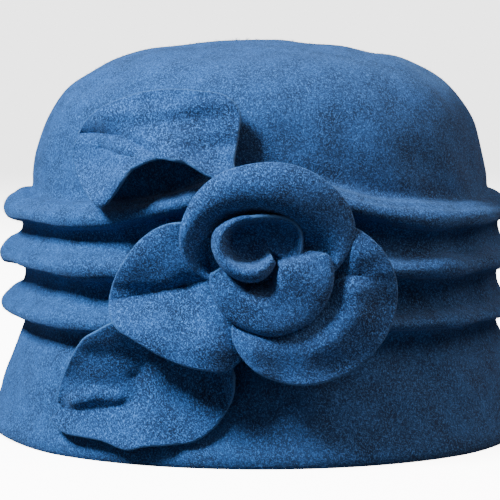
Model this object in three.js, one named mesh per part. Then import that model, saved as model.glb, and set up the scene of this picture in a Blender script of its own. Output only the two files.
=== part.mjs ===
// Cloche hat of thick wool felt. A domed crown is pinched into three soft tucks above a short
// flared brim, and a felt rose with two leaves is sewn to one side.
// Millimetres, +Z up. +X is the wearer's front and -Y the side with the rose.
// The origin is the middle of the hat's outer box, on the surface that it rests on.
import * as THREE from 'three';

// Felt
const hatFelt = 2.6;
const petalFelt = 1.8;
const seatGap = 0.6;

// Hat, outside, at the valleys between the tucks
const headLong = 104;
const headWide = 87;
const hatHeight = 169;

// Brim and the straight band above it: height of the crease between them, which rises towards
// the rose, how far the rim and the crease stand out, and how far the rim's ends lift
const brimHeight = 19;
const brimArch = 5;
const brimReach = 16;
const bandReach = 10;
const bandTop = 46;
const endLift = 3.2;

// Section from the rim's edge to the band: height as a share of the crease's, and how far out
// as shares of the brim's and the band's reach
const brimSection = [
  { up: 0.55, brim: 0.55, band: 0.45 },
  { up: 0.9, brim: 0.1, band: 0.9 },
  { up: 1.12, brim: 0, band: 0.94 },
];
// The rim's cut edge, as shares of the felt, and the band's middle, as shares of the way from
// the crease to the band's top and of the band's reach
const rimEdge = { up: 0.6, out: 0.25 };
const bandMiddle = { up: 0.6, out: 0.5 };

// Height of the highest tuck's upper edge, then the sizes of a tuck: how far the fold stands
// out, its thickness at the back of the head, and its arch at the rose's side
const crownFoot = 103.5;
const tuckReach = 10;
const tuckThick = 9.4;
const tuckArch = 5;
const archWidth = 46;

// Tucks, all in shares: height of the middle of crownFoot, arch, reach, and the thickness at
// the back and at the front of the head
const tucks = [
  { name: 'low', height: 0.527, arch: 1, reach: 1, back: 1, front: 0.81 },
  { name: 'middle', height: 0.744, arch: 1, reach: 1, back: 1, front: 0.81 },
  { name: 'high', height: 0.932, arch: 3, reach: 0.75, back: 0.894, front: 0.745 },
];
// Section of a tuck: up from its middle as a share of its thickness, out as a share of its reach
const tuckSection = [
  { up: -0.6, out: 0.05 },
  { up: -0.48, out: 0.5 },
  { up: -0.3, out: 0.92 },
  { up: 0, out: 1 },
  { up: 0.3, out: 0.84 },
  { up: 0.5, out: 0.5 },
  { up: 0.72, out: 0.18 },
];

// Crown above the highest tuck: rise as a share of the way from the tuck to the top, and
// reach as a share of the half length or half width
const crownRows = [
  { rise: 0, reach: 0.985 },
  { rise: 0.14, reach: 0.958 },
  { rise: 0.33, reach: 0.922 },
  { rise: 0.49, reach: 0.87 },
  { rise: 0.62, reach: 0.813 },
  { rise: 0.74, reach: 0.745 },
  { rise: 0.83, reach: 0.658 },
  { rise: 0.895, reach: 0.562 },
  { rise: 0.945, reach: 0.435 },
  { rise: 0.982, reach: 0.25 },
];

// Rose: its middle on the hat's side, its size, and how far its rolled lips stand out
const roseX = 1.5;
const roseZ = 90.5;
const roseRadius = 36;
const upperLipHeight = 21.5;
const lowerLipHeight = 20.5;
const heartHeight = 23;
const endShare = 0.86;

// Loose petals and leaves: the size of each, and its middle from the rose's middle as shares
// of the rose's radius
const rightPetalSize = 36;
const leftPetalSize = 30;
const upperLeafSize = 40;
const lowerLeafSize = 42;
const fromRose = (x, z, size) => ({ x: x * roseRadius, z: z * roseRadius, size });
const rightPetal = fromRose(0.542, -0.653, rightPetalSize);
const leftPetal = fromRose(-0.875, -0.542, leftPetalSize);
const upperLeaf = fromRose(-1.292, 1.097, upperLeafSize);
const lowerLeaf = fromRose(-1.431, -1.681, lowerLeafSize);

// How far the edges of the loose pieces curl away from the hat, and how steeply a piece may
// fall away behind the folds that carry it: gently over the tucks, steeply up the crown
const petalCurl = 0.8;
const leafCurl = 1.5;
const gentle = 0.22;
const steep = 1;
const foldRound = 4;

// Outlines of the petals: angle in degrees from +X towards +Z, radius as a share of the size
const rightPetalEdge = [
  [7, 0.95], [29, 0.98], [63, 0.97], [90, 0.93], [120, 0.82], [150, 0.76], [175, 0.82],
  [201, 0.95], [221, 0.95], [247, 0.9], [275, 0.86], [308, 0.85], [340, 0.9],
];
const leftPetalEdge = [
  [20, 0.8], [55, 0.85], [96, 0.95], [129, 0.92], [150, 0.91], [171, 0.96], [190, 1.03],
  [204, 1.01], [219, 0.89], [235, 0.83], [260, 0.85], [281, 0.95], [303, 1.1], [325, 1.0],
  [350, 0.85],
];

// Outlines of the leaves, a row for each station from the foot by the rose to the tip: a place
// on the upper edge, a place on the lower edge, both as shares of the size from the leaf's
// middle, and how far the tip is notched between them, as a share of the size
const upperLeafRows = [
  [0.9, -0.1, 0.78, -0.27, 0],
  [0.91, 0.28, 0.58, -0.27, 0],
  [0.87, 0.48, 0.4, -0.17, 0],
  [0.7, 0.585, 0.25, -0.13, 0],
  [0.42, 0.615, 0.1, -0.12, 0],
  [0.2, 0.62, -0.09, -0.19, 0],
  [-0.03, 0.56, -0.22, -0.29, 0],
  [-0.25, 0.5, -0.35, -0.49, 0],
  [-0.45, 0.41, -0.47, -0.61, 0],
  [-0.62, 0.28, -0.59, -0.57, 0],
  [-0.745, 0.12, -0.73, -0.4, 0],
  [-0.8, 0.0, -0.82, -0.2, 0],
];
const lowerLeafRows = [
  [0.86, 0.38, 0.93, 0.19, 0],
  [0.67, 0.57, 0.94, 0.0, 0],
  [0.48, 0.71, 0.85, -0.21, 0],
  [0.24, 0.76, 0.69, -0.38, 0],
  [0.0, 0.74, 0.5, -0.5, 0],
  [-0.23, 0.67, 0.28, -0.485, 0],
  [-0.38, 0.59, 0.1, -0.55, 0],
  [-0.5, 0.48, -0.12, -0.58, 0],
  [-0.61, 0.31, -0.35, -0.535, 0],
  [-0.7, 0.15, -0.55, -0.54, 0],
  [-0.77, -0.04, -0.74, -0.535, 0.05],
  [-0.79, -0.16, -0.9, -0.46, 0.12],
];

// Dents and ridges of the loose petals and leaves, all in shares of the piece's size: a line
// from one point to another, its half width and its height
const rightPetalFolds = [
  { from: [0.2, 0.33], to: [0.75, 0.3], width: 0.111, height: -0.033 },
  { from: [0.3, 0.58], to: [0.6, 0.55], width: 0.139, height: 0.05 },
  { from: [0.75, -0.2], to: [0.1, -0.85], width: 0.25, height: 0.044 },
];
const leftPetalFolds = [
  { from: [0.3, 0.2], to: [-1.0, -0.15], width: 0.183, height: -0.073 },
  { from: [-0.9, 0.35], to: [-0.2, 0.9], width: 0.233, height: 0.08 },
  { from: [-0.8, -0.5], to: [0.1, -0.85], width: 0.233, height: 0.06 },
];
const upperLeafFolds = [
  { from: [-0.7, 0.05], to: [0.4, -0.05], width: 0.113, height: -0.055 },
  { from: [-0.3, 0.4], to: [0.7, 0.45], width: 0.275, height: 0.055 },
  { from: [-0.6, -0.55], to: [-0.3, -0.3], width: 0.15, height: 0.06 },
  { from: [-0.1, -0.2], to: [0.7, -0.25], width: 0.125, height: 0.075 },
];
const lowerLeafFolds = [
  { from: [-0.75, -0.25], to: [0.1, 0.05], width: 0.107, height: -0.057 },
  { from: [-0.6, 0.3], to: [-0.2, 0.45], width: 0.19, height: 0.052 },
  { from: [-0.8, -0.42], to: [0.4, -0.4], width: 0.167, height: 0.071 },
  { from: [0.7, -0.2], to: [0.9, 0.1], width: 0.143, height: 0.043 },
];

// Rolled petals: angle about the rose's middle, with the radius of the lip's inner and outer
// edge as shares of the rose's radius
const upperLip = [
  [-16, 0.72, 0.84], [-3, 0.69, 0.95], [10, 0.62, 0.99], [24, 0.55, 1.0], [45, 0.5, 1.0],
  [65, 0.48, 0.98], [92, 0.48, 0.96], [118, 0.52, 0.99], [136, 0.58, 0.99], [155, 0.64, 0.98],
  [175, 0.65, 0.94], [192, 0.64, 0.86], [205, 0.62, 0.73],
];
const lowerLip = [
  [207, 0.54, 0.7], [216, 0.55, 0.76], [227, 0.56, 0.81], [238, 0.57, 0.86], [257, 0.58, 0.93],
  [272, 0.56, 0.95], [286, 0.5, 0.95], [297, 0.36, 0.93], [308, 0.3, 0.91], [321, 0.31, 0.86],
  [335, 0.35, 0.76], [342, 0.38, 0.66],
];
const heartLip = [
  [-8, 0.24, 0.36], [4, 0.27, 0.4], [18, 0.3, 0.44], [32, 0.32, 0.455], [54, 0.33, 0.445],
  [85, 0.35, 0.42], [116, 0.38, 0.44], [140, 0.44, 0.53], [156, 0.49, 0.57], [174, 0.5, 0.59],
  [188, 0.45, 0.57], [203, 0.37, 0.52], [220, 0.28, 0.47], [242, 0.19, 0.39], [266, 0.12, 0.32],
  [288, 0.1, 0.26],
];

// Section of a rolled petal from its foot to its outer edge: how far across, where 0 is the
// rose's middle, 1 the lip's inner edge and 2 its outer edge, and its share of the height
const lipSection = [
  [0.52, 0], [0.68, 0.3], [0.86, 0.66], [1.0, 0.88], [1.22, 1.0], [1.55, 0.93], [1.82, 0.72],
  [2.0, 0.45],
];
const heartSection = [[0.3, 0], [0.6, 0.3], [0.85, 0.72], [1.1, 0.96], [1.5, 1.0], [2.0, 0.8]];

// Smoothness of the faceted surfaces
const hatSides = 44;
const petalSides = 32;
const petalRings = 5;
const leafSteps = 18;
const leafLines = 8;
const lipSteps = 20;
const lipLines = 10;

const felt = (name, color, roughness) => {
  const material = new THREE.MeshStandardMaterial({ color, roughness, metalness: 0 });
  material.name = name;
  return material;
};

// Value at x of a smooth curve through rows [x, ...values], held at both ends
function along(rows, x, column = 1) {
  const last = rows.length - 1;
  if (x <= rows[0][0]) return rows[0][column];
  if (x >= rows[last][0]) return rows[last][column];
  let i = 0;
  while (rows[i + 1][0] < x) i += 1;
  const slope = (k) => {
    const low = rows[Math.max(k - 1, 0)];
    const high = rows[Math.min(k + 1, last)];
    return (high[column] - low[column]) / (high[0] - low[0]);
  };
  const span = rows[i + 1][0] - rows[i][0];
  const t = (x - rows[i][0]) / span;
  const t2 = t * t;
  const t3 = t2 * t;
  return (2 * t3 - 3 * t2 + 1) * rows[i][column] + (t3 - 2 * t2 + t) * span * slope(i)
    + (3 * t2 - 2 * t3) * rows[i + 1][column] + (t3 - t2) * span * slope(i + 1);
}

// The same for a closed outline whose first column is an angle
function around(rows, degrees) {
  const turn = (row, by) => [row[0] + by, row[1]];
  const before = rows.slice(-3).map((row) => turn(row, -360));
  const after = rows.slice(0, 3).map((row) => turn(row, 360));
  return along([...before, ...rows, ...after], degrees);
}

// Closed body from rings of points, all with as many points, each joined to the next, with
// the first and last ring either closed by a point of its own or joined to each other
function ringBody(rings, firstPoint, lastPoint) {
  const sides = rings[0].length;
  const points = rings.flat();
  const faces = [];
  const at = (ring, side) => (ring % rings.length) * sides + (side % sides);
  const joins = firstPoint ? rings.length - 1 : rings.length;
  for (let ring = 0; ring < joins; ring += 1) {
    for (let side = 0; side < sides; side += 1) {
      const [a, b] = [at(ring, side), at(ring, side + 1)];
      const [c, d] = [at(ring + 1, side + 1), at(ring + 1, side)];
      faces.push(a, b, c, a, c, d);
    }
  }
  if (firstPoint) {
    const foot = points.push(firstPoint) - 1;
    const top = points.push(lastPoint) - 1;
    for (let side = 0; side < sides; side += 1) {
      faces.push(foot, at(0, side + 1), at(0, side));
      faces.push(top, at(rings.length - 1, side), at(rings.length - 1, side + 1));
    }
  }
  const geometry = new THREE.BufferGeometry().setFromPoints(points);
  geometry.setIndex(faces);
  return geometry;
}

// Hat's outer surface. One row of the profile is its height and how far it stands out of the
// oval of the valleys, both for one direction round the hat.
function archHeight(tuck, cos, sin) {
  if (sin >= 0) return 0;
  return tuck.arch * tuckArch * Math.exp(-(((cos * headLong) / archWidth) ** 2));
}

function tuckRows(tuck, cos, sin) {
  const middle = tuck.height * crownFoot + archHeight(tuck, cos, sin);
  const thick = tuckThick * THREE.MathUtils.lerp(tuck.back, tuck.front, (1 + cos) / 2);
  const reach = tuck.reach * tuckReach;
  return tuckSection.map(({ up, out }) => ({ z: middle + up * thick, out: out * reach }));
}

function profile(cos, sin) {
  const lift = endLift * Math.max(0, cos * cos - sin * sin) ** 1.5;
  const crease = brimHeight + (sin < 0 ? brimArch * sin * sin : 0);
  const rows = [
    { z: lift, out: brimReach },
    { z: lift + rimEdge.up * hatFelt, out: brimReach + rimEdge.out * hatFelt },
  ];
  for (const { up, brim, band } of brimSection) {
    rows.push({ z: crease * up, out: brimReach * brim + bandReach * band });
  }
  const bandHeight = THREE.MathUtils.lerp(crease, bandTop, bandMiddle.up);
  rows.push({ z: bandHeight, out: bandReach * bandMiddle.out });
  for (const tuck of tucks) rows.push(...tuckRows(tuck, cos, sin));
  const crownStart = crownFoot + archHeight(tucks[2], cos, sin);
  for (const { rise, reach } of crownRows) {
    const z = THREE.MathUtils.lerp(crownStart, hatHeight, rise);
    rows.push({ z, long: headLong * reach, wide: headWide * reach });
  }
  return rows;
}

function hatPoint(row, cos, sin) {
  const long = row.long ?? headLong + row.out;
  const wide = row.wide ?? headWide + row.out;
  return new THREE.Vector3(long * cos, wide * sin, row.z);
}

// Felt of even thickness inside the outer surface: each row steps in along its own normal
function innerPoint(rows, index, cos, sin) {
  const here = hatPoint(rows[index], cos, sin);
  const above = hatPoint(rows[Math.min(index + 1, rows.length - 1)], cos, sin);
  const below = hatPoint(rows[Math.max(index - 1, 0)], cos, sin);
  const up = above.sub(below);
  const round = new THREE.Vector3(-headLong * sin, headWide * cos, 0);
  const inward = up.cross(round).normalize();
  return here.addScaledVector(inward, hatFelt);
}

// The whole hat: the felt's inner surface from the crown down, then its outer surface up
function hatBody() {
  const directions = Array.from({ length: hatSides }, (_, side) => {
    const angle = (side / hatSides) * 2 * Math.PI;
    return [Math.cos(angle), Math.sin(angle)];
  });
  const count = profile(1, 0).length;
  const outer = [];
  const inner = [];
  for (let index = 0; index < count; index += 1) {
    outer.push(directions.map(([cos, sin]) => hatPoint(profile(cos, sin)[index], cos, sin)));
    inner.push(directions.map(([cos, sin]) => innerPoint(profile(cos, sin), index, cos, sin)));
  }
  for (const [side, point] of inner[0].entries()) point.z = outer[0][side].z;
  const top = new THREE.Vector3(0, 0, hatHeight);
  const roof = new THREE.Vector3(0, 0, hatHeight - hatFelt);
  return ringBody([...inner.reverse(), ...outer], roof, top);
}

// Seat of the rose and its leaves: the hat's outermost surface towards -Y at a place x, z, as
// a cloth laid over it would lie that falls away from each fold no steeper than `slope`
const seatRows = new Map();
function rowsAt(x) {
  const key = x.toFixed(2);
  if (!seatRows.has(key)) {
    const rows = [];
    const count = profile(1, 0).length;
    for (let index = 1; index < count; index += 1) {
      let cos = x / headLong;
      let point = null;
      for (let step = 0; step < 6; step += 1) {
        const safe = THREE.MathUtils.clamp(cos, -0.98, 0.98);
        const sin = -Math.sqrt(1 - safe * safe);
        point = hatPoint(profile(safe, sin)[index], safe, sin);
        cos = safe + (x - point.x) / (Math.abs(point.x / safe) || headLong);
      }
      if (Math.abs(cos) < 0.98) rows.push(point);
    }
    seatRows.set(key, rows);
  }
  return seatRows.get(key);
}

function seat(x, z, slope) {
  const rows = rowsAt(x);
  let reach = -Infinity;
  for (const [index, point] of rows.entries()) {
    const next = rows[Math.min(index + 1, rows.length - 1)];
    const fall = slope * (Math.hypot(z - point.z, foldRound) - foldRound);
    reach = Math.max(reach, -point.y - fall);
    const share = (z - point.z) / (next.z - point.z || 1);
    if (share > 0 && share < 1) {
      reach = Math.max(reach, -THREE.MathUtils.lerp(point.y, next.y, share));
    }
  }
  return reach;
}

// A point that stands `out` from the seat, square to it
function onSeat(x, z, out, slope) {
  const half = 3;
  const middle = seat(x, z, slope);
  const alongX = (seat(x + half, z, slope) - seat(x - half, z, slope)) / (2 * half);
  const alongZ = (seat(x, z + half, slope) - seat(x, z - half, slope)) / (2 * half);
  const square = Math.sqrt(1 + alongX * alongX + alongZ * alongZ);
  return new THREE.Vector3(x, -middle - out * square, z);
}

// Sheet of felt about a grid of middle points: half its thickness to each side, with a rim.
// A round sheet closes on itself and its first ring is one point.
function feltSheet(grid, round) {
  const rows = grid.length;
  const columns = grid[0].length;
  const wrap = (column) => (column + columns) % columns;
  const normalAt = (row, column) => {
    const next = round ? wrap(column + 1) : Math.min(column + 1, columns - 1);
    const last = round ? wrap(column - 1) : Math.max(column - 1, 0);
    const across = grid[row][next].clone().sub(grid[row][last]);
    const outward = grid[Math.min(row + 1, rows - 1)][column].clone()
      .sub(grid[Math.max(row - 1, 0)][column]);
    return outward.cross(across).normalize();
  };
  const shifted = (side) => grid.map((line, row) => line.map((point, column) => (
    point.clone().addScaledVector(normalAt(row, column), (side * petalFelt) / 2)
  )));
  const front = shifted(1);
  const back = shifted(-1);
  if (round) {
    const pole = (rings) => rings[0].reduce((sum, point) => sum.add(point), new THREE.Vector3())
      .divideScalar(columns);
    const [backPole, frontPole] = [pole(back), pole(front)];
    const rings = [...back.slice(1), ...front.slice(1).reverse()];
    return ringBody(rings, backPole, frontPole);
  }
  const loops = front.map((line, row) => [...line, ...back[row].slice().reverse()]);
  const points = loops.flat();
  const size = 2 * columns;
  const faces = [];
  for (let row = 0; row < rows - 1; row += 1) {
    for (let side = 0; side < size; side += 1) {
      const next = (side + 1) % size;
      const [a, b] = [row * size + side, row * size + next];
      const [c, d] = [(row + 1) * size + next, (row + 1) * size + side];
      faces.push(a, c, b, a, d, c);
    }
  }
  const end = (rows - 1) * size;
  for (let column = 0; column < columns - 1; column += 1) {
    const under = size - 1 - column;
    faces.push(column, column + 1, under, column + 1, under - 1, under);
    faces.push(end + column, end + under, end + column + 1);
    faces.push(end + column + 1, end + under, end + under - 1);
  }
  const geometry = new THREE.BufferGeometry().setFromPoints(points);
  geometry.setIndex(faces);
  return geometry;
}

// Distance out from the seat to the middle of the n-th felt that lies on it
const layer = (n) => seatGap + petalFelt / 2 + n * (petalFelt + seatGap);

// Sum of the dents and ridges at a place x, z from the piece's middle
function foldHeight(folds, size, x, z) {
  let height = 0;
  for (const fold of folds) {
    const [fromX, fromZ] = fold.from.map((share) => share * size);
    const [toX, toZ] = fold.to.map((share) => share * size);
    const [alongX, alongZ] = [toX - fromX, toZ - fromZ];
    const share = ((x - fromX) * alongX + (z - fromZ) * alongZ) / (alongX ** 2 + alongZ ** 2);
    const t = THREE.MathUtils.clamp(share, 0, 1);
    const away = Math.hypot(x - fromX - t * alongX, z - fromZ - t * alongZ);
    height += fold.height * size * Math.exp(-((away / (fold.width * size)) ** 2));
  }
  return height;
}

// Height of a loose piece over the hat at a place x, z from its own middle. Its dents and its
// curled edge fade out under the piece that lies over it.
function looseHeight(place, folds, level, curl, cover, x, z) {
  const away = Math.hypot(place.x + x - cover.x, place.z + z - cover.z) / cover.size;
  const free = THREE.MathUtils.smoothstep(away, 0.92, 1.25);
  const height = foldHeight(folds, place.size, x, z) + curl;
  return layer(level) + Math.max(0, height * free);
}

// A loose petal: a round piece of felt lying over the pieces below it
function loosePetal(place, edge, folds, level, cover) {
  const grid = [];
  for (let ring = 0; ring <= petalRings; ring += 1) {
    const share = Math.max(ring / petalRings, 0.02);
    const line = [];
    for (let side = 0; side < petalSides; side += 1) {
      const degrees = (side / petalSides) * 360;
      const angle = THREE.MathUtils.degToRad(degrees);
      const radius = place.size * around(edge, degrees) * share;
      const [x, z] = [radius * Math.cos(angle), radius * Math.sin(angle)];
      const out = looseHeight(place, folds, level, petalCurl * share ** 2, cover, x, z);
      line.push(onSeat(roseX + place.x + x, roseZ + place.z + z, out, gentle));
    }
    grid.push(line);
  }
  return feltSheet(grid, true);
}

// A leaf: lines from its foot to its tip, spread between its lower and its upper edge
function leaf(place, rows, folds, slope) {
  const table = rows.map((row, index) => [index, ...row]);
  const grid = [];
  for (let index = 0; index <= leafLines; index += 1) {
    const across = index / leafLines;
    const line = [];
    for (let step = 0; step <= leafSteps; step += 1) {
      const station = (step / leafSteps) * (rows.length - 1);
      const [upX, upZ, lowX, lowZ, notch] = rows[0].map((_, column) => (
        along(table, station, column + 1)
      ));
      const drawn = 4 * across * (1 - across) * notch;
      const x = place.size * (THREE.MathUtils.lerp(lowX, upX, across) + drawn);
      const z = place.size * (THREE.MathUtils.lerp(lowZ, upZ, across) + drawn * 0.4);
      const out = looseHeight(place, folds, 0, leafCurl * (2 * across - 1) ** 2, leftPetal, x, z);
      line.push(onSeat(roseX + place.x + x, roseZ + place.z + z, out, slope));
    }
    grid.push(line);
  }
  return feltSheet(grid, false);
}

// A petal rolled outwards at its lip, standing round the rose's middle. Its two ends sit lower
// than its middle.
function rolledPetal(lip, section, height) {
  const first = lip[0][0];
  const last = lip[lip.length - 1][0];
  const foot = layer(3);
  const rows = section.map(([share, up], index) => [index, share, up]);
  const grid = [];
  for (let index = 0; index <= lipLines; index += 1) {
    const place = (index / lipLines) * (section.length - 1);
    const share = along(rows, place, 1);
    const up = along(rows, place, 2);
    const line = [];
    for (let step = 0; step <= lipSteps; step += 1) {
      const degrees = THREE.MathUtils.lerp(first, last, step / lipSteps);
      const angle = THREE.MathUtils.degToRad(degrees);
      const inner = roseRadius * along(lip, degrees, 1);
      const outer = roseRadius * along(lip, degrees, 2);
      const radius = share < 1 ? inner * share : inner + (outer - inner) * (share - 1);
      const ends = Math.min(step, lipSteps - step) / lipSteps;
      const stand = height * THREE.MathUtils.lerp(endShare, 1, Math.min(1, ends * 6));
      const out = THREE.MathUtils.lerp(foot, stand, up);
      const [x, z] = [radius * Math.cos(angle), radius * Math.sin(angle)];
      line.push(onSeat(roseX + x, roseZ + z, out, gentle));
    }
    grid.push(line);
  }
  return feltSheet(grid, false);
}

const hat = new THREE.Group();

function add(name, geometry, material) {
  geometry.computeVertexNormals();
  const mesh = new THREE.Mesh(geometry, material);
  mesh.name = name;
  hat.add(mesh);
}

const hatColour = felt('wool_felt_hat', 0x35608f, 0.95);
const petalColour = felt('wool_felt_rose', 0x3a6a9c, 0.95);
const rose = { x: 0, z: 0, size: 0.9 * roseRadius };
const leftFelt = loosePetal(leftPetal, leftPetalEdge, leftPetalFolds, 1, rightPetal);
const rightFelt = loosePetal(rightPetal, rightPetalEdge, rightPetalFolds, 2, rose);
add('hat_body', hatBody(), hatColour);
add('leaf_upper', leaf(upperLeaf, upperLeafRows, upperLeafFolds, steep), petalColour);
add('leaf_lower', leaf(lowerLeaf, lowerLeafRows, lowerLeafFolds, gentle), petalColour);
add('petal_left', leftFelt, petalColour);
add('petal_right', rightFelt, petalColour);
add('petal_upper', rolledPetal(upperLip, lipSection, upperLipHeight), petalColour);
add('petal_lower', rolledPetal(lowerLip, lipSection, lowerLipHeight), petalColour);
add('rose_heart', rolledPetal(heartLip, heartSection, heartHeight), petalColour);

// The box's middle over the origin, the rim's lowest edge at z = 0
const box = new THREE.Box3().setFromObject(hat);
hat.position.set(-(box.min.x + box.max.x) / 2, -(box.min.y + box.max.y) / 2, -box.min.z);

export default hat;
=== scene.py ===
import math
import bpy
import numpy as np
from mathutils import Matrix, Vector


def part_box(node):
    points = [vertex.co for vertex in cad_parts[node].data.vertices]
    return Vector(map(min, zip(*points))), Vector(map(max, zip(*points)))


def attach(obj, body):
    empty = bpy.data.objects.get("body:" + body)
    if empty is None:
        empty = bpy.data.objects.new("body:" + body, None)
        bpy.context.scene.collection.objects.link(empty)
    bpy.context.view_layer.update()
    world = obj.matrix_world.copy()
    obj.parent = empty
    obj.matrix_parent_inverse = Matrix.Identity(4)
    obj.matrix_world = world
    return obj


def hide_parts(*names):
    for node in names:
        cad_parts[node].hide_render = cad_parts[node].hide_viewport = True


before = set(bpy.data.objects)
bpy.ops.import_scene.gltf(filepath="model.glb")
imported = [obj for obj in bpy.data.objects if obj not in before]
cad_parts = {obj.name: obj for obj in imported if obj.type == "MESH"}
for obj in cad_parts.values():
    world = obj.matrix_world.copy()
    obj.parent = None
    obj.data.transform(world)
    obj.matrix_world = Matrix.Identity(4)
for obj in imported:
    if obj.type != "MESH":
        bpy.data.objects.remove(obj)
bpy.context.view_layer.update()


# Hat body.
# One hood of thick wool felt, blocked over an oval form: a domed crown, three tucks pinched
# round it and steamed soft, a straight band and a short flared brim with a raw cut edge.

HEAD_LONG = 0.104
HEAD_WIDE = 0.087
HAT_HEIGHT = 0.169
HAT_FELT = 0.0026
BRIM_HEIGHT = 0.019
BRIM_ARCH = 0.005
BRIM_REACH = 0.016
BAND_REACH = 0.010
BAND_TOP = 0.046
END_LIFT = 0.0032
CROWN_FOOT = 0.1035
TUCK_REACH = 0.010
TUCK_THICK = 0.0094
TUCK_ARCH = 0.005
ARCH_WIDTH = 0.046

# Rim and brim: height as a share of the crease's, reach as shares of the brim's and the band's
BRIM_SECTION = [(0.55, 0.55, 0.45), (0.9, 0.1, 0.9), (1.12, 0.0, 0.94)]
# In shares: height of the crown's foot, arch, reach, thickness at the back and at the front
TUCKS = [(0.527, 1, 1, 1, 0.81), (0.744, 1, 1, 1, 0.81), (0.932, 3, 0.75, 0.894, 0.745)]
# Section of a tuck: up as a share of its thickness, out as a share of its reach
TUCK_SECTION = [
    (-0.60, 0.05), (-0.48, 0.50), (-0.30, 0.92), (0.0, 1.0), (0.30, 0.84), (0.50, 0.50), (0.72, 0.18),
]
# Section of the crown: rise to the top, reach as a share of the half length or half width
CROWN_SECTION = [
    (0.0, 0.965), (0.14, 0.948), (0.33, 0.927), (0.49, 0.898), (0.62, 0.848), (0.734, 0.780),
    (0.826, 0.697), (0.893, 0.605), (0.945, 0.465), (0.982, 0.260), (1.0, 0.06),
]

low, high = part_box("hat_body")
HAT_X = (low[0] + high[0]) / 2
HAT_Y = (low[1] + high[1]) / 2
# The mesh of the hat: directions round it, rows of points for each row of the section, and how
# many times the crown's rows are evened out
HAT_SIDES = 320
ROWS_EACH = 5
CROWN_RELAXED = 60


def mix(a, b, share):
    """a + (b - a) * share."""
    return a + (b - a) * share


def profile(cos, sin):
    """Section of the hat's outer surface for directions cos, sin round it: for each row, the
    half length and half width of its oval, and its height."""
    lift = END_LIFT * np.maximum(0, cos**2 - sin**2) ** 1.5
    crease = BRIM_HEIGHT + BRIM_ARCH * np.where(sin < 0, sin**2, 0)
    arch = np.where(sin < 0, np.exp(-((cos * HEAD_LONG / ARCH_WIDTH) ** 2)), 0)
    ones = np.ones_like(cos)
    rows = [
        (BRIM_REACH * ones, lift),
        (BRIM_REACH * ones + 0.25 * HAT_FELT, lift + 0.6 * HAT_FELT),
    ]
    for up, brim, band in BRIM_SECTION:
        rows.append(((brim * BRIM_REACH + band * BAND_REACH) * ones, crease * up))
    rows.append((BAND_REACH * 0.5 * ones, mix(crease, BAND_TOP, 0.6)))
    for height, rise, reach, back, front in TUCKS:
        thick = TUCK_THICK * mix(back, front, (1 + cos) / 2)
        middle = height * CROWN_FOOT + rise * TUCK_ARCH * arch
        rows += [(out * reach * TUCK_REACH * ones, middle + up * thick) for up, out in TUCK_SECTION]
    ovals = [(HEAD_LONG + out, HEAD_WIDE + out, z) for out, z in rows]
    foot = CROWN_FOOT + TUCKS[2][1] * TUCK_ARCH * arch
    for rise, reach in CROWN_SECTION:
        ovals.append((HEAD_LONG * reach * ones, HEAD_WIDE * reach * ones, mix(foot, HAT_HEIGHT, rise)))
    return np.array(ovals)


def smooth(rows, extra):
    """Points between rows of points: a cubic through each interval whose slopes are those
    between the neighbours, with the rows' mean distances as parameter."""
    steps = np.linalg.norm(np.diff(rows, axis=0), axis=2).mean(axis=1)
    at = np.concatenate([[0], np.cumsum(steps)])
    slope = np.gradient(rows, at, axis=0)
    parts = []
    for k in range(len(rows) - 1):
        t = np.linspace(0, 1, extra, endpoint=False)[:, None, None]
        h = at[k + 1] - at[k]
        parts.append((2 * t**3 - 3 * t**2 + 1) * rows[k] + (t**3 - 2 * t**2 + t) * h * slope[k]
                     + (3 * t**2 - 2 * t**3) * rows[k + 1] + (t**3 - t**2) * h * slope[k + 1])
    return np.concatenate(parts + [rows[-1:]])


def waves(points, size, seed, count=24):
    """Smooth unevenness from -1 to 1: a sum of sine waves in random directions, each about as
    long as size."""
    draw = np.random.default_rng(seed)
    way = draw.normal(size=(count, 3))
    spread = draw.uniform(0.6, 1.3, (count, 1))
    way *= (2 * math.pi / size) * spread / np.linalg.norm(way, axis=1)[:, None]
    phase = draw.uniform(0, 2 * math.pi, count)
    return np.sin(points @ way.T + phase).sum(axis=-1) / math.sqrt(count)


def lumps(points):
    """How far the blocked felt stands off its form: broad dents and small lumps, none at the
    rim, which lies flat."""
    height = 0.0009 * waves(points, 0.075, 11) + 0.0004 * waves(points, 0.024, 12)
    return height * np.clip(points[..., 2] / 0.03, 0, 1)


def normals(grid, wrap):
    """Unit normals of a grid of points: the cross product of its two directions."""
    if wrap:
        ring = np.concatenate([grid[:, -1:], grid, grid[:, :1]], axis=1)
        across = ring[:, 2:] - ring[:, :-2]
    else:
        across = np.gradient(grid, axis=1)
    along = np.gradient(grid, axis=0)
    n = np.cross(across, along)
    return n / np.maximum(np.linalg.norm(n, axis=2, keepdims=True), 1e-12)


def new_piece(name, points, faces):
    """A mesh object at the origin with smooth faces."""
    mesh = bpy.data.meshes.new(name)
    mesh.from_pydata(points.tolist(), [], faces)
    mesh.polygons.foreach_set("use_smooth", np.ones(len(mesh.polygons), bool))
    mesh.update()
    piece = bpy.data.objects.new(name, mesh)
    bpy.context.scene.collection.objects.link(piece)
    return piece


def ring_faces(rings, sides):
    """Four-sided faces between neighbouring rings of points, round all their sides."""
    ring, side = np.meshgrid(np.arange(rings - 1), np.arange(sides), indexing="ij")
    here = ring * sides
    after = here + sides
    beside = (side + 1) % sides
    quads = [here + side, here + beside, after + beside, after + side]
    return np.stack(quads, axis=-1).reshape(-1, 4)


def relax(grid, first, times):
    """Rows from the first one on, each averaged with its neighbours again and again."""
    grid = grid.copy()
    for _ in range(times):
        grid[first:-1] = (grid[first - 1:-2] + 2 * grid[first:-1] + grid[first + 1:]) / 4
    return grid


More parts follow.
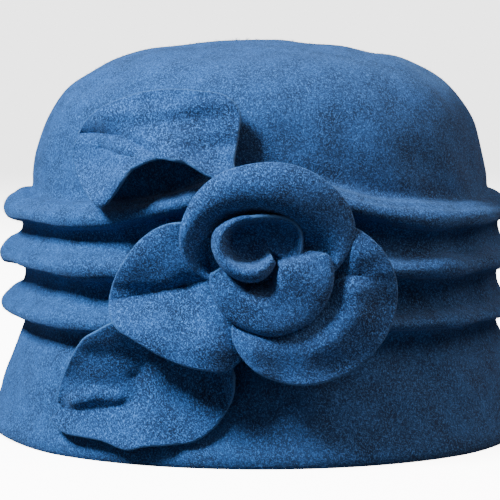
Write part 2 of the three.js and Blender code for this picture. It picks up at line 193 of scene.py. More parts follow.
turn = np.linspace(0, 2 * math.pi, HAT_SIDES, endpoint=False)
cos, sin = np.cos(turn), np.sin(turn)
ovals = profile(cos, sin)
rows = np.stack([ovals[:, 0] * cos, ovals[:, 1] * sin, ovals[:, 2]], axis=-1)
drawn = smooth(rows, ROWS_EACH)
crown_row = ROWS_EACH * (len(rows) - len(CROWN_SECTION) + 1)
# What the evening takes off the crown's shoulder is evened out too and put back on
soft = relax(drawn, crown_row, CROWN_RELAXED)
outer = soft + relax(drawn - soft, crown_row, CROWN_RELAXED)
outward = normals(outer, True)
outer = outer + outward * lumps(outer)[..., None]
inner = outer - outward * HAT_FELT
inner[0, :, 2] = outer[0, :, 2]
inner = inner[::2]
points = np.concatenate([inner[::-1].reshape(-1, 3), outer.reshape(-1, 3)])
points = np.concatenate([points, [[0, 0, HAT_HEIGHT - HAT_FELT], [0, 0, HAT_HEIGHT]]])
points[:, 0] += HAT_X
points[:, 1] += HAT_Y
rings = len(inner) + len(outer)
faces = ring_faces(rings, HAT_SIDES).tolist()
inner_pole = rings * HAT_SIDES
last_ring = inner_pole - HAT_SIDES
for side in range(HAT_SIDES):
    beside = (side + 1) % HAT_SIDES
    faces.append([inner_pole, beside, side])
    faces.append([inner_pole + 1, last_ring + side, last_ring + beside])
hat = new_piece("hat_felt_body", points, faces)


def felt_group():
    """Felt: matted fibres as short flecks in three directions over soft blotches, and the
    height of the same fibres for the surface."""
    group = bpy.data.node_groups.new("felt_fibres", "ShaderNodeTree")
    face = group.interface
    face.new_socket("Shade", in_out="INPUT", socket_type="NodeSocketColor")
    face.new_socket("Colour", in_out="INPUT", socket_type="NodeSocketColor")
    face.new_socket("Fleck", in_out="INPUT", socket_type="NodeSocketColor")
    face.new_socket("Flecks", in_out="INPUT", socket_type="NodeSocketFloat")
    face.new_socket("Colour", in_out="OUTPUT", socket_type="NodeSocketColor")
    face.new_socket("Height", in_out="OUTPUT", socket_type="NodeSocketFloat")
    nodes, links = group.nodes, group.links
    given = nodes.new("NodeGroupInput")
    out = nodes.new("NodeGroupOutput")
    place = nodes.new("ShaderNodeTexCoord")

    def noise(scale, detail, rough, turned=None, stretch=None):
        """Noise over the piece, turned and drawn out where asked."""
        node = nodes.new("ShaderNodeTexNoise")
        node.inputs["Scale"].default_value = scale
        node.inputs["Detail"].default_value = detail
        node.inputs["Roughness"].default_value = rough
        source = place.outputs["Object"]
        if turned:
            mapping = nodes.new("ShaderNodeMapping")
            mapping.vector_type = "TEXTURE"
            mapping.inputs["Rotation"].default_value = turned
            mapping.inputs["Scale"].default_value = stretch
            links.new(source, mapping.inputs["Vector"])
            source = mapping.outputs["Vector"]
        links.new(source, node.inputs["Vector"])
        return node.outputs["Fac"]

    def spread(value, low, high):
        """A value from low to high spread over 0 to 1."""
        node = nodes.new("ShaderNodeMapRange")
        node.inputs["From Min"].default_value = low
        node.inputs["From Max"].default_value = high
        links.new(value, node.inputs["Value"])
        return node.outputs["Result"]

    def join(kind, a, b):
        """Two values, the second also a plain number, joined by a kind of sum."""
        node = nodes.new("ShaderNodeMath")
        node.operation = kind
        links.new(a, node.inputs[0])
        if isinstance(b, (int, float)):
            node.inputs[1].default_value = b
        else:
            links.new(b, node.inputs[1])
        return node.outputs["Value"]

    turns = [(0, 0.35, 0.3), (0, -1.0, 0.9), (0, -0.75, 2.2)]
    long_fleck = (2.6, 1.0, 1.0)
    fibres = [noise(2000, 2, 0.6, turned, long_fleck) for turned in turns]
    strands = join("MAXIMUM", join("MAXIMUM", fibres[0], fibres[1]), fibres[2])
    flecks = spread(strands, 0.56, 0.70)
    pits = spread(noise(1300, 3, 0.7), 0.56, 0.40)
    blotch = spread(noise(90, 5, 0.65), 0.35, 0.65)

    def blend(share, a, b):
        """Colour a with a share of colour b over it."""
        node = nodes.new("ShaderNodeMix")
        node.data_type = "RGBA"
        links.new(share, node.inputs["Factor"])
        links.new(a, node.inputs["A"])
        links.new(b, node.inputs["B"])
        return node.outputs["Result"]

    body = blend(blotch, given.outputs["Shade"], given.outputs["Colour"])
    body = blend(join("MULTIPLY", pits, 0.8), body, given.outputs["Shade"])
    flecked = join("MULTIPLY", flecks, given.outputs["Flecks"])
    links.new(blend(flecked, body, given.outputs["Fleck"]), out.inputs["Colour"])
    height = join("ADD", strands, join("MULTIPLY", noise(420, 4, 0.65), 0.9))
    links.new(height, out.inputs["Height"])
    return group


FELT = felt_group()
# Painted highlight: a paler blue laid along the felt's cut edge for the light that the fuzz there
# catches, on the shaded side as well
CUT_EDGE_HIGHLIGHT = (0.035, 0.115, 0.28, 1)
FELT_RELIEF = 0.0006


def felt_material(name, shade, colour, fleck, flecks, relief):
    """Matte felt with a soft nap: the fibre group on a rough base with sheen, and a painted
    highlight along the cut edge, a paler colour for the light that its standing fibres catch."""
    material = bpy.data.materials.new(name)
    material.use_nodes = True
    nodes, links = material.node_tree.nodes, material.node_tree.links
    base = nodes["Principled BSDF"]
    base.inputs["Roughness"].default_value = 0.95
    base.inputs["Specular IOR Level"].default_value = 0.2
    base.inputs["Sheen Weight"].default_value = 0.09
    base.inputs["Sheen Roughness"].default_value = 0.4
    base.inputs["Sheen Tint"].default_value = (0.3, 0.55, 1.0, 1)
    fibres = nodes.new("ShaderNodeGroup")
    fibres.node_tree = FELT
    fibres.inputs["Shade"].default_value = (*shade, 1)
    fibres.inputs["Colour"].default_value = (*colour, 1)
    fibres.inputs["Fleck"].default_value = (*fleck, 1)
    fibres.inputs["Flecks"].default_value = flecks
    bump = nodes.new("ShaderNodeBump")
    bump.inputs["Strength"].default_value = relief
    bump.inputs["Distance"].default_value = FELT_RELIEF
    # Painted highlight: the cut edge's mask mixes the pale highlight colour over the felt's own colours
    cut = nodes.new("ShaderNodeAttribute")
    cut.attribute_name = "cut_edge"
    edge = nodes.new("ShaderNodeMix")
    edge.data_type = "RGBA"
    edge.inputs["B"].default_value = CUT_EDGE_HIGHLIGHT
    links.new(cut.outputs["Fac"], edge.inputs["Factor"])
    links.new(fibres.outputs["Colour"], edge.inputs["A"])
    links.new(edge.outputs["Result"], base.inputs["Base Color"])
    links.new(fibres.outputs["Height"], bump.inputs["Height"])
    links.new(bump.outputs["Normal"], base.inputs["Normal"])
    return material


FIBRE_RADIUS = 0.00004
FIBRE_SUNK = 0.0001
FIBRE_STRAY = 0.0006


def loose_fibres(name, felt, chance, count, length, seed):
    """Fibres that stand out of a felt: bent three-sided spikes that start at random points of
    it. Each goes half its length one way and half another, at a random lean to the surface."""
    size = 3 * len(felt.data.vertices)
    place, outward = np.empty(size, np.float32), np.empty(size, np.float32)
    felt.data.vertices.foreach_get("co", place)
    felt.data.vertex_normals.foreach_get("vector", outward)
    draw = np.random.default_rng(seed)
    pick = draw.choice(len(chance), count, p=chance / chance.sum())
    up = outward.reshape(-1, 3)[pick].astype(float)

    def sideways(toward):
        """Unit directions along the surface, square to the given ones."""
        side = np.cross(up, toward)
        return side / np.linalg.norm(side, axis=1, keepdims=True)

    side = sideways(draw.normal(size=(count, 3)))
    root = place.reshape(-1, 3)[pick] + side * draw.uniform(-1, 1, (count, 1)) * FIBRE_STRAY
    root -= up * FIBRE_SUNK
    lean = draw.uniform(0.15, 0.8, (count, 1))
    run = length * draw.uniform(0.3, 1.0, (count, 1)) / 2
    way = up * lean + side * np.sqrt(1 - lean**2)
    turned = up * lean * draw.uniform(0.2, 1.2, (count, 1))
    turned += sideways(side + draw.normal(size=(count, 3)) * 0.4)
    middle = root + way * run
    tip = middle + turned * run / np.linalg.norm(turned, axis=1, keepdims=True)
    first = np.cross(up, side)
    second = np.cross(way, first)
    corners = [first * math.cos(a) + second * math.sin(a) for a in np.radians([0, 120, 240])]
    points = [root + c * FIBRE_RADIUS for c in corners]
    points += [middle + c * FIBRE_RADIUS * 0.8 for c in corners]
    points = np.stack(points + [tip], axis=1).reshape(-1, 3)
    points[:, 2] = np.maximum(points[:, 2], 0)
    base = 7 * np.arange(count)[:, None]
    sides = [(k, (k + 1) % 3) for k in range(3)]
    quads = np.concatenate([base + [k, after, after + 3, k + 3] for k, after in sides])
    ends = [base + [k + 3, after + 3, 6] for k, after in sides] + [base + [2, 1, 0]]
    return new_piece(name, points, quads.tolist() + np.concatenate(ends).tolist())


HAT_SHADE = (0.006, 0.021, 0.06)
HAT_COLOUR = (0.013, 0.06, 0.19)
HAT_FLECK = (0.04, 0.165, 0.48)
hat_felt = felt_material("hat_wool_felt", HAT_SHADE, HAT_COLOUR, HAT_FLECK, 0.8, 0.8)
hat.data.materials.append(hat_felt)
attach(hat, "root")
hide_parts("hat_body")

STRAY_SHADE = (0.02, 0.07, 0.2)
STRAY_COLOUR = (0.05, 0.16, 0.4)
STRAY_FLECK = (0.12, 0.3, 0.6)
stray_wool = felt_material("stray_wool_fibres", STRAY_SHADE, STRAY_COLOUR, STRAY_FLECK, 0.6, 0)
# Fibres start on the outer surface alone
outside = np.zeros(len(points))
outside[len(inner) * HAT_SIDES:rings * HAT_SIDES] = 1
hat_fibres = loose_fibres("hat_felt_fibres", hat, outside, 9000, 0.0032, 21)
hat_fibres.data.materials.append(stray_wool)
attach(hat_fibres, "root")


# Leaves.
# Two leaves cut from thinner felt and sewn down by their foot under the rose. Each is creased
# along its middle, and its free edges stand off the hat in soft arches.

PETAL_FELT = 0.0018
SEAT_GAP = 0.0006
ROSE_X = 0.0015
ROSE_Z = 0.0905
ROSE_RADIUS = 0.036
# Place from the rose's middle in rose radii, and size
UPPER_LEAF = (-1.292, 1.097, 0.040)
LOWER_LEAF = (-1.431, -1.681, 0.042)

# A row for each station from the foot to the tip: place on the upper edge, place on the lower
# edge and notch of the tip, as shares of the leaf's size
UPPER_LEAF_ROWS = [
    (1.22, -0.6, 1.02, -0.78, 0), (1.0, -0.42, 0.86, -0.56, 0), (0.85, -0.22, 0.74, -0.36, 0),
    (0.885, 0.06, 0.57, -0.27, 0), (0.9, 0.32, 0.4, -0.17, 0),
    (0.74, 0.48, 0.25, -0.13, 0), (0.42, 0.525, 0.1, -0.12, 0), (0.2, 0.53, -0.09, -0.19, 0),
    (-0.03, 0.505, -0.22, -0.29, 0), (-0.25, 0.44, -0.35, -0.49, 0), (-0.45, 0.36, -0.47, -0.61, 0),
    (-0.62, 0.24, -0.59, -0.57, 0), (-0.735, 0.1, -0.73, -0.4, 0), (-0.785, -0.02, -0.81, -0.2, 0),
]
LOWER_LEAF_ROWS = [
    (0.86, 0.38, 0.93, 0.19, 0), (0.67, 0.57, 0.92, 0.02, 0), (0.48, 0.71, 0.84, -0.17, 0),
    (0.24, 0.76, 0.7, -0.33, 0), (0.0, 0.74, 0.52, -0.44, 0), (-0.23, 0.67, 0.3, -0.47, 0),
    (-0.38, 0.585, 0.08, -0.485, 0), (-0.51, 0.5, -0.12, -0.53, 0), (-0.62, 0.34, -0.35, -0.47, 0),
    (-0.7, 0.17, -0.56, -0.455, 0), (-0.765, -0.02, -0.72, -0.44, 0.03),
    (-0.79, -0.16, -0.86, -0.35, 0.06),
]
# Ridges and dents: the line that each follows, half width and height, as shares of the size
UPPER_LEAF_FOLDS = [
    ([(-0.05, -0.17), (0.15, -0.12), (0.25, -0.16)], 0.09, 0.08),
    ([(-0.15, -0.14), (0.18, -0.16)], 0.34, 0.24), ([(-0.55, -0.6), (-0.25, -0.33)], 0.12, 0.05),
    ([(-0.45, 0.36), (-0.03, 0.5), (0.42, 0.53)], 0.22, 0.08),
]
LOWER_LEAF_FOLDS = [
    ([(-0.62, -0.13), (-0.4, -0.06), (-0.2, -0.07)], 0.07, 0.05),
    ([(0.92, 0.1), (0.86, -0.15), (0.6, -0.42)], 0.08, 0.04),
    ([(-0.7, 0.3), (-0.5, 0.5)], 0.12, 0.03),
    ([(0.35, 0.3), (0.62, 0.05), (0.72, -0.2)], 0.34, -0.28),
]
# Creases: the line that each follows, then the rise on its upper and on its lower side and the
# width that the rise takes, as shares of the size
UPPER_LEAF_CREASES = [
    ([(-0.8, 0.05), (-0.55, 0.08), (-0.3, 0.07), (-0.1, -0.02), (0.1, -0.11)], 0.09, 0.06, 0.13),
    ([(-0.5, -0.07), (-0.31, -0.11), (-0.16, -0.14)], 0.07, 0.04, 0.08),
]
LOWER_LEAF_CREASES = [
    (
        [(-0.95, -0.27), (-0.6, -0.22), (-0.31, -0.18), (0.02, -0.09), (0.25, -0.11), (0.5, -0.33)],
        0.66, 0.4, 4.0,
    ),
    ([(-0.05, 0.13), (0.5, 0.19)], 0.03, 0.02, 0.1),
]
LEAF_CURL = 0.012

# What the felts lie on: the step and half length of its lattice, how round it passes over a
# tuck, and how steeply it falls off the tucks under stiff and under bent felt
SEAT_STEP = 0.001
SEAT_HALF = 0.1
SEAT_ROUND = 0.004
GENTLE = 0.22
STEEP = 1.0


def seat_map(slope):
    """The hat's outermost surface towards -Y over a lattice of places x, z, as a cloth laid on
    it would lie: the highest of the hat's section and of falls of the given slope that start
    rounded at each of its rows."""
    x = np.arange(-SEAT_HALF, SEAT_HALF, SEAT_STEP)
    z = np.arange(0.0, HAT_HEIGHT, SEAT_STEP)
    count = len(profile(np.zeros(1), -np.ones(1)))
    reach = np.zeros((len(x), len(z)))
    cos_in = np.tile(x / HEAD_LONG, (count, 1))
    for _ in range(8):
        safe = np.clip(cos_in, -0.98, 0.98)
        ovals = np.stack([profile(safe[k], -np.sqrt(1 - safe[k] ** 2))[k] for k in range(count)])
        cos_in = x / ovals[:, 0]
    safe = np.clip(cos_in, -0.999, 0.999)
    out = ovals[:, 1] * np.sqrt(1 - safe**2)
    out[np.abs(cos_in) > 0.98] = -0.5
    height = ovals[:, 2]
    for k in range(1, count):
        fall = slope * (np.hypot(z - height[k][:, None], SEAT_ROUND) - SEAT_ROUND)
        reach = np.maximum(reach, out[k][:, None] - fall)
        if k + 1 < count:
            span = height[k + 1] - height[k]
            share = (z - height[k][:, None]) / np.where(np.abs(span) < 1e-9, 1e-9, span)[:, None]
            between = mix(out[k][:, None], out[k + 1][:, None], share)
            reach = np.where((share > 0) & (share < 1), np.maximum(reach, between), reach)
    return x, z, reach


def soften(values, width):
    """Values of a lattice averaged over their neighbours, weighted by a bell of that width."""
    reach = int(3 * width / SEAT_STEP)
    bell = np.exp(-0.5 * (np.arange(-reach, reach + 1) * SEAT_STEP / width) ** 2)
    bell /= bell.sum()
    for axis in (0, 1):
        margin = [(0, 0), (0, 0)]
        margin[axis] = (reach, reach)
        padded = np.pad(values, margin, mode="edge")
        at = np.arange(values.shape[axis])
        values = sum(share * np.take(padded, at + k, axis) for k, share in enumerate(bell))
    return values


LATTICE_X, LATTICE_Z, gentle_seat = seat_map(GENTLE)
SEATS = {
    "crown": soften(seat_map(STEEP)[2], 0.0012),
    "tucks": soften(gentle_seat, 0.0012),
    "felts": soften(gentle_seat, 0.003),
    "rose": soften(gentle_seat, 0.008),
}


def seat(x, z, under):
    """Reach of the seat that is under a piece at places x, z, between the lattice's nearest
    four values."""
    reach = SEATS[under]
    i = np.clip((x - LATTICE_X[0]) / SEAT_STEP, 0, len(LATTICE_X) - 1.001)
    k = np.clip((z - LATTICE_Z[0]) / SEAT_STEP, 0, len(LATTICE_Z) - 1.001)
    i0, k0 = i.astype(int), k.astype(int)
    lower = mix(reach[i0, k0], reach[i0 + 1, k0], i - i0)
    upper = mix(reach[i0, k0 + 1], reach[i0 + 1, k0 + 1], i - i0)
    return mix(lower, upper, k - k0)


def on_seat(x, z, out, under):
    """Points that stand out from the seat, square to it."""
    half = 0.003
    by_x = (seat(x + half, z, under) - seat(x - half, z, under)) / (2 * half)
    by_z = (seat(x, z + half, under) - seat(x, z - half, under)) / (2 * half)
    reach = seat(x, z, under)
    reach = reach + lumps(np.stack([x, -reach, z], axis=-1)) + out * np.sqrt(1 + by_x**2 + by_z**2)
    return np.stack([x + HAT_X, HAT_Y - reach, z], axis=-1)


def curve(rows, at):
    """Values of a table at parameters: first column the parameter, a cubic between rows."""
    table = np.asarray(rows, float)
    x, values = table[:, 0], table[:, 1:]
    slope = np.gradient(values, x, axis=0)
    slope[1:-1] = (values[2:] - values[:-2]) / (x[2:] - x[:-2])[:, None]
    at = np.clip(at, x[0], x[-1])
    k = np.clip(np.searchsorted(x, at, side="right") - 1, 0, len(x) - 2)
    h = (x[k + 1] - x[k])[..., None]
    t = ((at - x[k]) / (x[k + 1] - x[k]))[..., None]
    return ((2 * t**3 - 3 * t**2 + 1) * values[k] + (t**3 - 2 * t**2 + t) * h * slope[k]
            + (3 * t**2 - 2 * t**3) * values[k + 1] + (t**3 - t**2) * h * slope[k + 1])


def line_distance(line, x, z):
    """Distance of places from a line through several places, and their height along Z over
    the nearest point of it."""
    nearest, over = np.full_like(x, np.inf), np.zeros_like(x)
    for (from_x, from_z), (to_x, to_z) in zip(line, line[1:]):
        run, climb = to_x - from_x, to_z - from_z
        t = np.clip(((x - from_x) * run + (z - from_z) * climb) / (run**2 + climb**2), 0, 1)
        away = np.hypot(x - from_x - t * run, z - from_z - t * climb)
        over = np.where(away < nearest, z - from_z - t * climb, over)
        nearest = np.minimum(away, nearest)
    return nearest, over


def fold_height(folds, x, z):
    """Sum of soft ridges, each a bell across the line that it follows."""
    height = np.zeros_like(x)
    for line, width, rise in folds:
        away, _ = line_distance(line, x, z)
        height += rise * np.exp(-((away / width) ** 2))
    return height


def crease_height(creases, x, z):
    """Sum of valleys with a sharp bottom: none on the line, rising to a height of its own on
    each side and level past the crease's width."""
    height = np.zeros_like(x)
    for line, above, below, width in creases:
        away, over = line_distance(line, x, z)
        sharp = np.sqrt(away**2 + 0.012**2) - 0.012
        side = 0.5 + 0.5 * np.tanh(over / 0.04)
        height += mix(below, above, side) * (1 - np.exp(-sharp / (0.5 * width)))
    return height


def layer(n):
    """Distance from the seat to the middle of the n-th felt on it."""
    return SEAT_GAP + PETAL_FELT / 2 + n * (PETAL_FELT + SEAT_GAP)


def free_of(cover, x, z):
    """How free a piece is to rise under the one that covers it: 0 within the first share of
    the cover's reach and 1 past the second. The cover is its place and the two shares."""
    (cover_x, cover_z, size, edge), held, loose = cover
    away_x, away_z = x - cover_x, z - cover_z
    degrees = np.degrees(np.arctan2(away_z, away_x)) % 360
    reach = size / ROSE_RADIUS * curve(closed(edge), degrees)[..., 0]
    t = np.clip((np.hypot(away_x, away_z) / reach - held) / (loose - held), 0, 1)
    return t * t * (3 - 2 * t)


def closed(edge):
    """An outline's table carried on past both ends of the turn."""
    return [(a - 360, r) for a, r in edge[-3:]] + edge + [(a + 360, r) for a, r in edge[:3]]


def felt_piece(name, mid, wrap):
    """A sheet of felt about a grid of middle points: half its thickness to each side, and a
    rim in a half circle. A wrapped grid closes round and starts at a pole."""
    half = PETAL_FELT / 2
    arc = np.radians([30, 60, 90])

    def grow(grid, thick, axis, end):
        """The grid with its rim past one side, and half its thickness there."""
        edge = np.take(grid, [-1] if end else [0], axis=axis)
        beside = np.take(grid, [-2] if end else [1], axis=axis)
        away = edge - beside
        away /= np.maximum(np.linalg.norm(away, axis=2, keepdims=True), 1e-12)
        rim = [edge + away * half * math.sin(a) for a in arc]
        thin = [np.take(thick, [-1] if end else [0], axis=axis) * math.cos(a) for a in arc]
        grids = [grid] + rim if end else rim[::-1] + [grid]
        halves = [thick] + thin if end else thin[::-1] + [thick]
        return np.concatenate(grids, axis=axis), np.concatenate(halves, axis=axis)

    thick = np.full(mid.shape[:2], half)
    facing = normals(mid, wrap)
    grid, thick = grow(mid, thick, 0, True)
    facing = np.concatenate([facing, np.repeat(facing[-1:], 3, axis=0)])
    if not wrap:
        grid, thick = grow(grid, thick, 0, False)
        facing = np.concatenate([np.repeat(facing[:1], 3, axis=0), facing])
        for end in (True, False):
            grid, thick = grow(grid, thick, 1, end)
            side = np.repeat(facing[:, -1:] if end else facing[:, :1], 3, axis=1)
            facing = np.concatenate([facing, side] if end else [side, facing], axis=1)
    thick = np.where(thick < 1e-9, 0, thick)
    front = grid - facing * thick[..., None]
    back = grid + facing * thick[..., None]
    rows, columns = thick.shape
    front_at = np.arange(rows * columns).reshape(rows, columns)
    back_at = front_at + rows * columns
    rim = thick == 0
    back_at[rim] = front_at[rim]
    if wrap:
        front[0] = front[0].mean(axis=0)
        back[0] = back[0].mean(axis=0)
        front_at[0] = front_at[0, 0]
        back_at[0] = back_at[0, 0]
    points = np.concatenate([front.reshape(-1, 3), back.reshape(-1, 3)])

    def quads(at, flip):
        """Four-sided faces of a grid of point numbers, turned over by flip."""
        if wrap:
            at = np.concatenate([at, at[:, :1]], axis=1)
        corners = [at[:-1, :-1], at[:-1, 1:], at[1:, 1:], at[1:, :-1]]
        return np.stack(corners[::-1] if flip else corners, axis=-1).reshape(-1, 4)

    faces = []
    for quad in np.concatenate([quads(front_at, False), quads(back_at, True)]).tolist():
        corners = list(dict.fromkeys(quad))
        if len(corners) > 2:
            faces.append(corners)
    used, index = np.unique(np.concatenate([np.array(face) for face in faces]), return_inverse=True)
    sizes = np.cumsum([len(face) for face in faces])[:-1]
    faces = [part.tolist() for part in np.split(index, sizes)]
    piece = new_piece(name, points[used], faces)
    # Mask of the cut rim, 1 at its very edge: the felt material paints its pale highlight there, and the
    # loose fibres gather there
    cut = (1 - (thick / half) ** 2).ravel()
    mark = piece.data.attributes.new("cut_edge", "FLOAT", "POINT")
    mark.data.foreach_set("value", np.concatenate([cut, cut])[used].astype(np.float32))
    return piece


# Outlines of the round petals, which the leaves reach under: angle in degrees, radius as a
# share of the petal's size
RIGHT_PETAL_EDGE = [
    (7, 0.925), (29, 0.95), (63, 0.95), (90, 0.92), (120, 0.82), (150, 0.76), (175, 0.82),
    (201, 0.94), (221, 0.935), (247, 0.88), (275, 0.83), (308, 0.82), (340, 0.87),
]
LEFT_PETAL_EDGE = [
    (20, 0.8), (55, 0.85), (96, 0.95), (129, 0.92), (150, 0.91), (171, 0.96), (190, 1.03),
    (204, 1.01), (219, 0.89), (235, 0.83), (260, 0.85), (281, 0.95), (303, 1.1), (325, 1.0),
    (350, 0.85),
]
# Place from the rose's middle in rose radii, size and outline
RIGHT_PETAL = (0.542, -0.653, 0.036, RIGHT_PETAL_EDGE)
LEFT_PETAL = (-0.875, -0.542, 0.030, LEFT_PETAL_EDGE)
ROSE = (0.0, 0.0, 0.033, [(0, 1.0), (90, 1.0), (180, 1.0), (270, 1.0)])


def leaf_grid(place, table, folds, creases, cover, under, steps=140, lines=80):
    """Middle of a leaf: lines from its foot to its tip, spread from its lower to its upper
    edge, laid on the seat with its folds, creases and curl."""
    rose_x, rose_z, size = place
    station = np.linspace(0, len(table) - 1, steps)
    up_x, up_z, low_x, low_z, notch = curve([(k, *row) for k, row in enumerate(table)], station).T
    across = np.linspace(0, 1, lines)[:, None]
    drawn_in = 4 * across * (1 - across) * notch
    x = mix(low_x, up_x, across) + drawn_in
    z = mix(low_z, up_z, across) + drawn_in * 0.4
    curl = LEAF_CURL * (2 * across - 1) ** 2
    rise = size * (fold_height(folds, x, z) + crease_height(creases, x, z) + curl)
    at_x, at_z = rose_x + x * size / ROSE_RADIUS, rose_z + z * size / ROSE_RADIUS
    out = layer(0) + np.maximum(0, rise * free_of(cover, at_x, at_z))
    return on_seat(ROSE_X + ROSE_RADIUS * at_x, ROSE_Z + ROSE_RADIUS * at_z, out, under)


ROSE_SHADE = (0.005, 0.017, 0.05)
ROSE_COLOUR = (0.013, 0.056, 0.18)
ROSE_FLECK = (0.045, 0.18, 0.52)
rose_felt = felt_material("rose_wool_felt", ROSE_SHADE, ROSE_COLOUR, ROSE_FLECK, 0.95, 0.9)


def dress(piece, node, seed):
    """What every leaf and petal is: rose felt in place of its node, with the painted highlight of
    its cut edge, and the fibres that stand out of it, most of them at its cut edge."""
    piece.data.materials.append(rose_felt)
    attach(piece, "root")
    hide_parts(node)
    cut = np.empty(len(piece.data.vertices), np.float32)
    piece.data.attributes["cut_edge"].data.foreach_get("value", cut)
    fibres = loose_fibres(node + "_fibres", piece, 0.4 + cut.astype(float), 3800, 0.0022, seed)
    fibres.data.materials.append(stray_wool)
    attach(fibres, "root")


upper_grid = leaf_grid(
    UPPER_LEAF, UPPER_LEAF_ROWS, UPPER_LEAF_FOLDS, UPPER_LEAF_CREASES, (ROSE, 0.4, 1.02), "crown")
upper_leaf = felt_piece("felt_leaf_upper", upper_grid, False)
dress(upper_leaf, "leaf_upper", 31)
lower_grid = leaf_grid(
    LOWER_LEAF, LOWER_LEAF_ROWS, LOWER_LEAF_FOLDS, LOWER_LEAF_CREASES, (LEFT_PETAL, 0.45, 1.0), "tucks")
lower_leaf = felt_piece("felt_leaf_lower", lower_grid, False)
dress(lower_leaf, "leaf_lower", 32)


# Loose petals.
# Two round petals under the rose, one to the left and one to the right and below, sewn down
# in their middle under the rolled petals, with soft dents and their edges a little raised.

RIGHT_PETAL_FOLDS = [
    ([(0.35, 0.62), (0.6, 0.62)], 0.18, 0.05), ([(-0.88, -0.1), (-0.65, -0.72)], 0.2, 0.13),
    ([(0.46, 0.15), (0.42, -0.1), (0.22, -0.38), (-0.1, -0.53), (-0.6, -0.5)], 0.2, 0.1),
    ([(0.4, 0.0), (0.2, -0.4), (-0.4, -0.6)], 0.7, 0.1),
    ([(-0.4, -0.85), (0.2, -0.85), (0.7, -0.5)], 0.3, 0.04),
]
LEFT_PETAL_FOLDS = [
    ([(-0.9, -0.55), (-0.1, -0.85), (0.3, -0.8)], 0.45, 0.32),
    ([(-0.2, -0.25), (0.2, -0.4)], 0.3, 0.06),
    ([(-0.8, 0.4), (-0.1, 0.95)], 0.2, 0.05),
]
RIGHT_PETAL_CREASES = [([(0.2, 0.36), (0.5, 0.32)], 0.1, 0.07, 0.25)]
LEFT_PETAL_CREASES = [
    ([(0.5, 0.26), (0.0, 0.12)], 0.14, 0.1, 0.3), ([(0.0, 0.12), (-1.05, -0.14)], 0.1, 0.1, 0.35),
]
LEFT_PETAL_CURL = 0.03
RIGHT_PETAL_CURL = 0.04


def petal_grid(place, folds, creases, level, curl, cover, sides=220, rings=56):
    """Middle of a round petal: rings out from its centre to its outline, laid on the seat with
    its folds, creases and curl."""
    rose_x, rose_z, size, edge = place
    degrees = np.linspace(0, 360, sides, endpoint=False)
    radius = curve(closed(edge), degrees)[:, 0]
    share = np.maximum(np.linspace(0, 1, rings), 0.004)[:, None]
    x = share * radius * np.cos(np.radians(degrees))
    z = share * radius * np.sin(np.radians(degrees))
    rise = size * (fold_height(folds, x, z) + crease_height(creases, x, z) + curl * share**3)
    at_x, at_z = rose_x + x * size / ROSE_RADIUS, rose_z + z * size / ROSE_RADIUS
    out = layer(level) + np.maximum(0, rise * free_of(cover, at_x, at_z))
    return on_seat(ROSE_X + ROSE_RADIUS * at_x, ROSE_Z + ROSE_RADIUS * at_z, out, "felts")


left_grid = petal_grid(
    LEFT_PETAL, LEFT_PETAL_FOLDS, LEFT_PETAL_CREASES, 1, LEFT_PETAL_CURL, (RIGHT_PETAL, 0.6, 1.0))
left_petal = felt_piece("felt_petal_left", left_grid, True)
dress(left_petal, "petal_left", 33)
right_grid = petal_grid(
    RIGHT_PETAL, RIGHT_PETAL_FOLDS, RIGHT_PETAL_CREASES, 2, RIGHT_PETAL_CURL, (ROSE, 0.8, 1.13))
right_petal = felt_piece("felt_petal_right", right_grid, True)
dress(right_petal, "petal_right", 34)


# Rolled petals and the heart.
# Two petals stand round the middle with their lips rolled outwards, and a strip rolled up in
# the middle makes the heart. All are cut from the same felt and sewn through at their foot.

UPPER_LIP_HEIGHT = 0.0215
LOWER_LIP_HEIGHT = 0.018
HEART_HEIGHT = 0.0215

# Angle about the rose's middle, the radius of the lip's inner and outer edge as shares, and
# how far the lip is rolled: 0 stands up like a cup, 1 is rolled over
UPPER_LIP = [
    (-18, 0.77, 0.8, 0.6), (-12, 0.76, 0.845, 0.6), (-4, 0.73, 0.9, 0.65), (5, 0.665, 0.957, 0.75),
    (13, 0.6, 0.998, 0.85), (24.5, 0.55, 1.008, 0.95), (36, 0.52, 0.995, 1), (50, 0.495, 0.973, 1),
    (65, 0.48, 0.956, 1), (84, 0.475, 0.933, 1), (103, 0.495, 0.922, 1), (121, 0.535, 0.939, 1),
    (139, 0.585, 0.944, 0.8), (156, 0.625, 0.936, 0.4), (170, 0.64, 0.924, 0.15), (182, 0.645, 0.893, 0),
    (193.5, 0.65, 0.824, 0), (203, 0.665, 0.755, 0), (208, 0.68, 0.712, 0),
]
LOWER_LIP = [
    (207, 0.56, 0.65, 0.5), (213, 0.552, 0.7, 0.7), (223, 0.55, 0.757, 0.9), (236, 0.565, 0.825, 1),
    (250, 0.575, 0.878, 1), (263, 0.572, 0.908, 1), (275, 0.548, 0.938, 1), (284, 0.5, 0.938, 1),
    (293, 0.39, 0.932, 1), (303, 0.32, 0.925, 1), (313, 0.29, 0.893, 1), (325, 0.32, 0.85, 1),
    (337, 0.39, 0.795, 0.95), (344, 0.46, 0.755, 0.85), (350, 0.54, 0.715, 0.7), (353, 0.6, 0.67, 0.6),
]
HEART_LIP = [
    (-32, 0.29, 0.295, 0), (-21, 0.35, 0.355, 0), (-10, 0.385, 0.39, 0), (8, 0.4, 0.405, 0),
    (25, 0.415, 0.425, 0), (40, 0.41, 0.42, 0.05),
    (59, 0.38, 0.39, 0.05), (79, 0.35, 0.36, 0.05), (108, 0.36, 0.37, 0.1), (131, 0.405, 0.44, 0.3),
    (148, 0.45, 0.515, 0.5), (161, 0.475, 0.57, 0.6), (175, 0.47, 0.57, 0.8), (190, 0.44, 0.535, 0.9),
    (207, 0.375, 0.49, 1), (223, 0.305, 0.443, 1), (242, 0.235, 0.39, 1), (263, 0.175, 0.327, 1),
    (285, 0.14, 0.24, 1), (300, 0.13, 0.19, 0.9),
]
